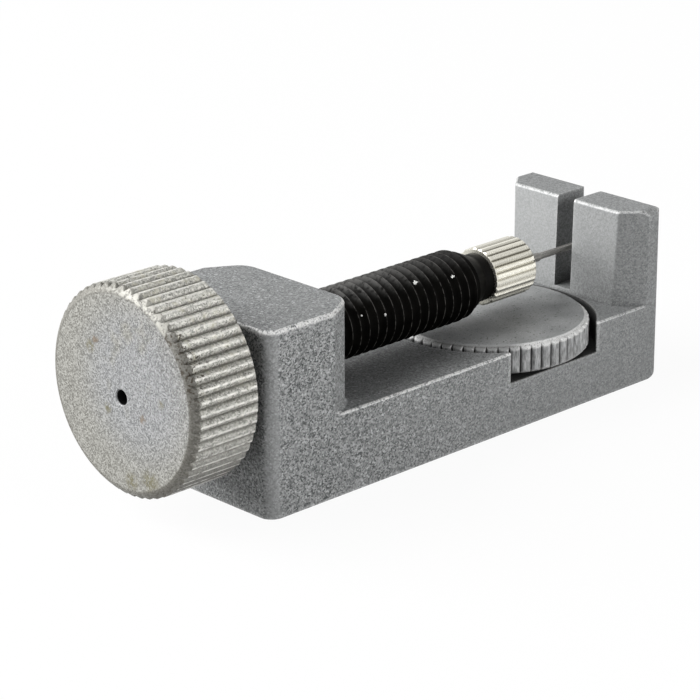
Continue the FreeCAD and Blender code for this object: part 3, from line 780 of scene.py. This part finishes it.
# %% Dress the CAD nodes
finishes = {
    "frame": casting_paint(),
    "lead_screw": black_oxide(),
    "knob": dull_plating(),
    "pin_cap": bright_nickel(),
    "push_pin": satin_steel("pin_steel", PIN_SHADES, roughness=0.36, metallic=0.65),
    "height_wheel": satin_steel("wheel_steel", WHEEL_SHADES, 0.60, 0.35, rim=scored_rim),
    "wheel_stud": satin_steel("stud_steel", STUD_SHADES, roughness=0.36, metallic=0.65),
}
for node, finish in finishes.items():
    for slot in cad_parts[node].material_slots:
        slot.material = finish
print(len(finishes), "finishes")

# %% [markdown]
# Three CAD pieces get a closer version here: the screw, the knob and the wheel. A closer
# version could be an object with its own place, but the CAD nodes have their places in their
# meshes and stand at the origin, and a piece that is built the same way rides on a moving
# body as they do. Pieces are drawn in millimetres and scaled to metres once, at the end.


# %% Placing a piece
def place_piece(bm, name, body, finish, smooth_angle):
    """Make an object of a mesh in millimetres, dress it and let it ride on its body."""
    bmesh.ops.recalc_face_normals(bm, faces=bm.faces[:])
    bmesh.ops.scale(bm, vec=(MM, MM, MM), verts=bm.verts[:])
    mesh = bpy.data.meshes.new(name)
    bm.to_mesh(mesh)
    bm.free()
    mesh.materials.append(finish)
    mesh.shade_smooth()
    mesh.set_sharp_from_angle(angle=math.radians(smooth_angle))
    piece = bpy.data.objects.new(name, mesh)
    bpy.context.scene.collection.objects.link(piece)
    print(name, "has", len(mesh.polygons), "faces")
    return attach(piece, body)


def points_in(geometry):
    """The points among what a mesh operation made."""
    return [element for element in geometry if isinstance(element, bmesh.types.BMVert)]


def edges_in(geometry):
    """The edges among what a mesh operation made."""
    return [element for element in geometry if isinstance(element, bmesh.types.BMEdge)]


def ring_of(bm, x):
    """The edges of the mesh that lie in the plane across the X axis at x."""
    return [edge for edge in bm.edges if all(abs(v.co.x - x) < 1e-4 for v in edge.verts)]


def limit_radius(vert, centre_z, limit):
    """Move a point in towards the axis, if it stands further from it than the limit."""
    spoke = Vector((0, vert.co.y, vert.co.z - centre_z))
    if spoke.length > limit:
        spoke.length = limit
        vert.co = Vector((vert.co.x, 0, centre_z)) + spoke


# %% [markdown]
# The thread is a true helix. It could be one long spin along the whole screw, but every turn
# is the same shape one pitch further on. So the outline of one thread is carried once round
# the axis while it moves forward by one pitch, and that turn is copied. One turn's end meets
# the next turn's start, where the doubles are merged.

# %% Sizes of the thread
THREAD_PITCH = 1.25
THREAD_DEPTH = 0.72
CREST_WIDTH = 0.12
ROOT_WIDTH = 0.20
CREST_ROUNDING = 0.05
ROOT_ROUNDING = 0.03
STEPS_PER_TURN = 64
axis_point = Vector((0, 0, AXIS_HEIGHT))
print("thread", THREAD_PITCH, "mm a turn and", THREAD_DEPTH, "mm deep")


# %% Turns of the thread
def thread_outline():
    """One thread from root to root, as distances along the screw and from its axis."""
    flank = (THREAD_PITCH - CREST_WIDTH - ROOT_WIDTH) / 2
    root = THREAD_RADIUS - THREAD_DEPTH
    crest = THREAD_RADIUS - 0.01
    middle = THREAD_PITCH / 2
    half = [
        (0, root),
        (ROOT_WIDTH / 2, root + ROOT_ROUNDING),
        (ROOT_WIDTH / 2 + flank / 2, (root + crest) / 2),
        (ROOT_WIDTH / 2 + flank, crest - CREST_ROUNDING),
        (middle - CREST_WIDTH / 4, crest),
    ]
    return half + [(THREAD_PITCH - x, radius) for x, radius in reversed(half)]


def one_turn(bm, start):
    """One turn of the thread, from the start forward, and all that it is made of."""
    points = [bm.verts.new((start + x, 0, AXIS_HEIGHT + radius)) for x, radius in thread_outline()]
    edges = [bm.edges.new(pair) for pair in zip(points, points[1:])]
    bmesh.ops.spin(bm, geom=points + edges, cent=axis_point, axis=(1, 0, 0),
                   dvec=(THREAD_PITCH / STEPS_PER_TURN, 0, 0), angle=2 * math.pi,
                   steps=STEPS_PER_TURN, use_merge=False)
    return bm.verts[:] + bm.edges[:] + bm.faces[:]


def endless_thread(start, end):
    """Turns enough to reach past both ends of the screw."""
    bm = bmesh.new()
    turn = one_turn(bm, start)
    turns = math.ceil((end - start) / THREAD_PITCH) + 2
    for number in range(1, turns):
        copy = points_in(bmesh.ops.duplicate(bm, geom=turn)["geom"])
        bmesh.ops.translate(bm, verts=copy, vec=(number * THREAD_PITCH, 0, 0))
    bmesh.ops.remove_doubles(bm, verts=bm.verts[:], dist=1e-3)
    print(turns, "turns before the ends are cut")
    return bm


# %% [markdown]
# Behind, the screw is cut off square inside the knob. In front it is turned down to a cone, so
# that the thread runs out, and ends in a nose with a spigot that the cap is screwed on. A
# lathe does this by taking away all that stands too far out, and the mesh is treated the
# same way: no point may stand further from the axis than the cone at its place.

# %% Sizes of the screw's ends
NOSE_RADIUS = 2.7
SPIGOT_RADIUS = 2.0
NOSE_END = CAP_REAR
NOSE_START = NOSE_END - 1.3
TAPER_START = NOSE_START - 2.8
print("the thread runs out from", round(TAPER_START, 2), "to", round(NOSE_START, 2), "mm")


# %% Ends of the screw
def turned_down(x):
    """The largest radius that the screw has at x: full, then a cone, then the nose."""
    share = (x - TAPER_START) / (NOSE_START - TAPER_START)
    share = min(max(share, 0), 1)
    return THREAD_RADIUS + (NOSE_RADIUS - THREAD_RADIUS) * share


def cut_square(bm, x, keep_side):
    """Cut the mesh across the screw at x, keep one side and close the cut."""
    geometry = bm.verts[:] + bm.edges[:] + bm.faces[:]
    bmesh.ops.bisect_plane(bm, geom=geometry, plane_co=(x, 0, 0), plane_no=(keep_side, 0, 0),
                           clear_inner=True, dist=1e-5)
    return bmesh.ops.edgeloop_fill(bm, edges=ring_of(bm, x))["faces"]


def make_screw():
    """The screw: its thread, cone, nose and spigot, cut off square behind."""
    bm = endless_thread(screw_low.x - 2 * THREAD_PITCH, NOSE_END)
    for vert in bm.verts:
        if vert.co.x > TAPER_START:
            limit_radius(vert, AXIS_HEIGHT, turned_down(vert.co.x))
    cut_square(bm, screw_low.x, 1)
    nose_face = cut_square(bm, NOSE_END, -1)
    bmesh.ops.inset_region(bm, faces=nose_face, thickness=NOSE_RADIUS - SPIGOT_RADIUS)
    spigot = points_in(bmesh.ops.extrude_face_region(bm, geom=nose_face)["geom"])
    bmesh.ops.translate(bm, verts=spigot, vec=(screw_high.x - NOSE_END, 0, 0))
    bmesh.ops.delete(bm, geom=nose_face, context="FACES_ONLY")
    return bm


screw = place_piece(make_screw(), "threaded_screw", "drive_screw",
                    finishes["lead_screw"], smooth_angle=40)
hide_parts("lead_screw")

# %% [markdown]
# The knob and the wheel are knurled in straight ribs with rounded crests and narrow grooves.
# Cutting grooves into a cylinder would be the machinist's way, but cuts leave ragged faces
# in a mesh. Instead one rib is drawn across, pulled from station to station along the axis
# and copied round it. Then the blank's bevels are turned, as the screw's cone was, which
# shortens each crest and leaves the grooves as notches in the bevel.

# %% Ribs
RIB_POINTS = 10


def rib_across(ribs, crest, groove, roundness):
    """One rib from groove to groove, as angles round the axis and distances from it."""
    outline = []
    for step in range(RIB_POINTS + 1):
        side = 2 * step / RIB_POINTS - 1
        drop = (crest - groove) * abs(side) ** roundness
        outline.append((side * math.pi / ribs, crest - drop))
    return outline


def one_rib(bm, outline, stations):
    """The outline pulled along X from station to station."""
    points = [bm.verts.new((stations[0], radius * math.sin(angle), radius * math.cos(angle)))
              for angle, radius in outline]
    edges = [bm.edges.new(pair) for pair in zip(points, points[1:])]
    for here, there in zip(stations, stations[1:]):
        grown = bmesh.ops.extrude_edge_only(bm, edges=edges)["geom"]
        bmesh.ops.translate(bm, verts=points_in(grown), vec=(there - here, 0, 0))
        edges = [edge for edge in edges_in(grown)
                 if all(abs(v.co.x - there) < 1e-5 for v in edge.verts)]


def ribbed_wall(outline, ribs, stations, blank_radius):
    """A ribbed wall along X round the origin, no thicker anywhere than its blank was."""
    bm = bmesh.new()
    one_rib(bm, outline, stations)
    geometry = bm.verts[:] + bm.edges[:] + bm.faces[:]
    bmesh.ops.spin(bm, geom=geometry, cent=(0, 0, 0), axis=(1, 0, 0), use_duplicate=True,
                   angle=2 * math.pi * (ribs - 1) / ribs, steps=ribs - 1)
    bmesh.ops.remove_doubles(bm, verts=bm.verts[:], dist=1e-4)
    for vert in bm.verts:
        limit_radius(vert, 0, blank_radius(vert.co.x))
    return bm


# %% [markdown]
# Both blanks are bevelled at their ends, the knob's with a round bevel and the wheel's with a
# straight one, so the bevel is a function of the place along the axis with a softness. The
# ribs need points where the bevels bend them and hardly any between, so the stations lie
# close together at the ends and far apart in the middle.

# %% Bevels
BEVEL_STEPS = 6


def bevelled_blank(length, crest, front, back, softness):
    """The blank's radius along X; front and back are each a radius and a bevel's length."""
    def radius(x):
        """The blank's radius at x."""
        found = crest
        for (end_radius, bevel), from_end in ((front, x), (back, length - x)):
            share = min(max(from_end / bevel, 0), 1)
            found = min(found, end_radius + (crest - end_radius) * share ** softness)
        return found
    return radius


def bevel_stations(length, front_bevel, back_bevel):
    """Where along X the ribs get a ring of points: closely over the bevels, sparsely between."""
    steps = [step / BEVEL_STEPS for step in range(BEVEL_STEPS + 1)]
    between = length - front_bevel - back_bevel
    front = [front_bevel * step for step in steps]
    middle = [front_bevel + between * part for part in (0.1, 0.5, 0.9)]
    back = [length - back_bevel * (1 - step) for step in steps]
    return front + middle + back


# %% [markdown]
# The ribbed wall is open at both ends. Its last ring of edges is pulled inwards to smaller
# circles and along the axis, until the piece is closed. A bridge between the ribs and a
# smooth circle would be shorter to write, but it pairs the points of two flat rings badly
# and twists the face, so here every new point keeps the angle of the point that it grew from.


# %% Closing the ends of a ribbed piece
def moved_ring(bm, ring, forward):
    """Extrude a ring of edges along X and return the new ring."""
    old = {v for edge in ring for v in edge.verts}
    grown = bmesh.ops.extrude_edge_only(bm, edges=ring)["geom"]
    fresh = set(points_in(grown)) - old
    bmesh.ops.translate(bm, verts=list(fresh), vec=(forward, 0, 0))
    return [edge for edge in edges_in(grown) if all(v in fresh for v in edge.verts)]


def fitted_ring(bm, ring, radius, centre_z=0.0, forward=0.0):
    """Extrude a ring of edges and fit the new one to a circle, each point at its own angle."""
    fresh = moved_ring(bm, ring, forward)
    verts = {v for edge in fresh for v in edge.verts}
    middle = sum(v.co.z for v in verts) / len(verts)
    for vert in verts:
        spoke = Vector((0, vert.co.y, vert.co.z - middle))
        spoke.length = radius
        vert.co = Vector((vert.co.x, 0, centre_z)) + spoke
    return fresh


# %% [markdown]
# The knob is a thick cup: ribbed outside, closed by its face and bored at the back for the
# screw's end. A small round hole goes through its face, a little under the middle. The hole
# could be cut with a boolean, but its ring is easily reached from the face's rim in steps
# that slide down to the hole's own centre, and that keeps the mesh clean.

# %% Sizes of the knob
KNOB_RIBS = 57
KNOB_GROOVE = 0.46
KNOB_ROUNDNESS = 1.7
KNOB_LENGTH = knob_high.x - knob_low.x
KNOB_WALL = 2.0
FACE_BEVEL = 0.72
BACK_BEVEL = 0.4
BEVEL_SOFTNESS = 0.7
SCREW_SOCKET = THREAD_RADIUS + 0.02
HOLE_RADIUS = 0.8
HOLE_LIP = 0.1
print(KNOB_RIBS, "ribs,", round(2 * math.pi * KNOB_RADIUS / KNOB_RIBS, 2), "mm apart on the knob")


# %% Knob
def pierced_face(bm, wall_end):
    """Close the knob's face from its rim in to the hole, and line the hole."""
    rim = fitted_ring(bm, wall_end, FACE_RADIUS - 0.12)
    collar = fitted_ring(bm, rim, HOLE_RADIUS + 0.35, HOLE_DROP)
    brink = fitted_ring(bm, collar, HOLE_RADIUS + HOLE_LIP, HOLE_DROP)
    throat = fitted_ring(bm, brink, HOLE_RADIUS, HOLE_DROP, forward=HOLE_LIP)
    return moved_ring(bm, throat, KNOB_WALL - HOLE_LIP)


def bored_back(bm, wall_end, rim_radius):
    """Close the knob's back, bore it for the screw and bring its floor to the hole."""
    rim = fitted_ring(bm, wall_end, rim_radius)
    socket = fitted_ring(bm, rim, SCREW_SOCKET)
    socket_floor = moved_ring(bm, socket, KNOB_WALL - KNOB_LENGTH)
    return fitted_ring(bm, socket_floor, HOLE_RADIUS, HOLE_DROP)


def make_knob():
    """The knob: a ribbed wall, a face with a hole and a bored back."""
    crest = KNOB_RADIUS - 0.01
    groove = crest - KNOB_GROOVE
    blank = bevelled_blank(KNOB_LENGTH, crest, front=(FACE_RADIUS - 0.05, FACE_BEVEL),
                           back=(groove - 0.1, BACK_BEVEL), softness=BEVEL_SOFTNESS)
    bm = ribbed_wall(rib_across(KNOB_RIBS, crest, groove, KNOB_ROUNDNESS), KNOB_RIBS,
                     bevel_stations(KNOB_LENGTH, FACE_BEVEL, BACK_BEVEL), blank)
    hole_end = pierced_face(bm, ring_of(bm, 0))
    floor_hole = bored_back(bm, ring_of(bm, KNOB_LENGTH), groove - 0.4)
    meeting = list({v for edge in hole_end + floor_hole for v in edge.verts})
    bmesh.ops.remove_doubles(bm, verts=meeting, dist=1e-3)
    bmesh.ops.translate(bm, verts=bm.verts[:], vec=(KNOB_FACE, 0, AXIS_HEIGHT))
    return bm


knob = place_piece(make_knob(), "knurled_knob", "drive_screw",
                   finishes["knob"], smooth_angle=35)
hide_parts("knob")

# %% [markdown]
# The wheel is knurled like the knob, with flatter crests. Its bevel is wide at the top, where
# a bracelet rides over it, and narrow below, where a blind hole takes the stud. The helpers
# draw ribs along X, so the wheel is made lying on its side, and is then turned so that its
# axis stands up; helpers for both directions would say everything twice.

# %% Sizes of the wheel
stud_low, stud_high = [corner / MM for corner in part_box("wheel_stud")]
WHEEL_RIBS = 55
WHEEL_GROOVE = 0.40
WHEEL_ROUNDNESS = 4.0
WHEEL_THICKNESS = wheel_high.z - wheel_low.z
TOP_BEVEL = 0.5
UNDER_BEVEL = 0.3
STUD_SOCKET = (stud_high.y - stud_low.y) / 2 + 0.02
STUD_SOCKET_DEPTH = stud_high.z + 0.02 - wheel_low.z
print(WHEEL_RIBS, "ribs on a wheel", round(WHEEL_THICKNESS, 2), "mm thick")


# %% Wheel
def make_wheel():
    """The wheel: a ribbed wall, a plain top and a blind hole below for the stud."""
    crest = WHEEL_RADIUS - 0.005
    groove = crest - WHEEL_GROOVE
    blank = bevelled_blank(WHEEL_THICKNESS, crest, front=(crest - 0.3, UNDER_BEVEL),
                           back=(crest - 0.60, TOP_BEVEL), softness=1.0)
    bm = ribbed_wall(rib_across(WHEEL_RIBS, crest, groove, WHEEL_ROUNDNESS), WHEEL_RIBS,
                     bevel_stations(WHEEL_THICKNESS, UNDER_BEVEL, TOP_BEVEL), blank)
    under_rim = fitted_ring(bm, ring_of(bm, 0), groove - 0.4)
    top_rim = fitted_ring(bm, ring_of(bm, WHEEL_THICKNESS), crest - 0.70)
    bmesh.ops.edgeloop_fill(bm, edges=top_rim)
    socket = fitted_ring(bm, under_rim, STUD_SOCKET)
    bmesh.ops.edgeloop_fill(bm, edges=moved_ring(bm, socket, STUD_SOCKET_DEPTH))
    upright = Matrix.Rotation(-math.pi / 2, 4, "Y")
    bmesh.ops.transform(bm, matrix=upright, verts=bm.verts[:])
    bmesh.ops.translate(bm, verts=bm.verts[:], vec=(WHEEL_AXIS, 0, wheel_low.z))
    return bm


wheel = place_piece(make_wheel(), "knurled_wheel", "height_wheel",
                    finishes["height_wheel"], smooth_angle=35)
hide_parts("height_wheel")

# %% [markdown]
# The tool stands on a pale table in a white room. A room that really shone white would flatten
# every shadow, and a dim one would look grey behind the tool. So the table and the room show
# as white to the camera and in reflections, while they light the tool only as much as the
# photograph's shadows allow, and the table keeps the tool's own shadow.

# %% White for the camera only
ROOM_LIGHT = 0.045
GLOW_SHARE = 0.95


def white_to_the_lens(tree):
    """1 for rays from the camera, from a mirror or through glass, and 0 for the rest."""
    path = tree.nodes.new("ShaderNodeLightPath")
    kinds = ("Is Camera Ray", "Is Glossy Ray", "Is Transmission Ray")
    return any_of(tree, *[path.outputs[kind] for kind in kinds])


def add_room():
    """A world that looks white and gives little light."""
    world = bpy.data.worlds.new("white_room")
    world.use_nodes = True
    tree = world.node_tree
    background = next(n for n in tree.nodes if n.type == "BACKGROUND")
    background.inputs["Color"].default_value = (1, 1, 1, 1)
    strength = ramp(tree, white_to_the_lens(tree), 0, 1, ROOM_LIGHT, 1.0)
    tree.links.new(strength, background.inputs["Strength"])
    bpy.context.scene.world = world


add_room()
print("room light", ROOM_LIGHT)

# %% Table
TABLE_SIZE = 3.0
TABLE_GREY = (0.70, 0.70, 0.70, 1)


def table_finish():
    """A dull pale surface, mixed with a white glow for the rays that reach the camera."""
    material, tree, shader = new_finish("table_white")
    shader.inputs["Base Color"].default_value = TABLE_GREY
    shader.inputs["Roughness"].default_value = 0.9
    shader.inputs["Specular IOR Level"].default_value = 0.1
    glow = tree.nodes.new("ShaderNodeEmission")
    glow.inputs["Strength"].default_value = 1.0
    mixer = tree.nodes.new("ShaderNodeMixShader")
    output = next(n for n in tree.nodes if n.type == "OUTPUT_MATERIAL")
    tree.links.new(weaker(tree, white_to_the_lens(tree), GLOW_SHARE), mixer.inputs["Fac"])
    tree.links.new(shader.outputs["BSDF"], mixer.inputs[1])
    tree.links.new(glow.outputs["Emission"], mixer.inputs[2])
    tree.links.new(mixer.outputs["Shader"], output.inputs["Surface"])
    return material


def add_table():
    """A square table top at the height of the tool's underside."""
    bm = bmesh.new()
    bmesh.ops.create_grid(bm, x_segments=1, y_segments=1, size=TABLE_SIZE / 2)
    mesh = bpy.data.meshes.new("table")
    bm.to_mesh(mesh)
    bm.free()
    mesh.materials.append(table_finish())
    table = bpy.data.objects.new("table", mesh)
    bpy.context.scene.collection.objects.link(table)


add_table()
print("table", TABLE_SIZE, "m square")

# %% [markdown]
# The photograph's shadows are soft, and its light comes from the left. Small lamps would give
# hard shadows and glare on the tops, so the lamps are large boxes. The strongest stands
# square on the left at thirty degrees, where it lights the knob's face and the anvil's inner
# side. A smaller one low in front, on the right, fills the long side, and a weak one behind,
# on the right, lightens the tops.


# %% Lamps
def soft_box(name, azimuth, elevation, distance, size, power):
    """A square lamp that looks at the tool; angles in degrees, metres and watts."""
    data = bpy.data.lights.new(name, "AREA")
    data.shape = "SQUARE"
    data.size = size
    data.energy = power
    lamp = bpy.data.objects.new(name, data)
    bpy.context.scene.collection.objects.link(lamp)
    lamp.matrix_world = look_along(CAMERA_AIM + toward(azimuth, elevation) * distance, CAMERA_AIM)
    print(name, power, "W")


soft_box("left_box", azimuth=-132, elevation=30, distance=0.9, size=0.9, power=23.5)
soft_box("front_box", azimuth=15, elevation=12, distance=0.6, size=0.35, power=3.2)
soft_box("right_box", azimuth=115, elevation=35, distance=0.9, size=0.7, power=0.9)
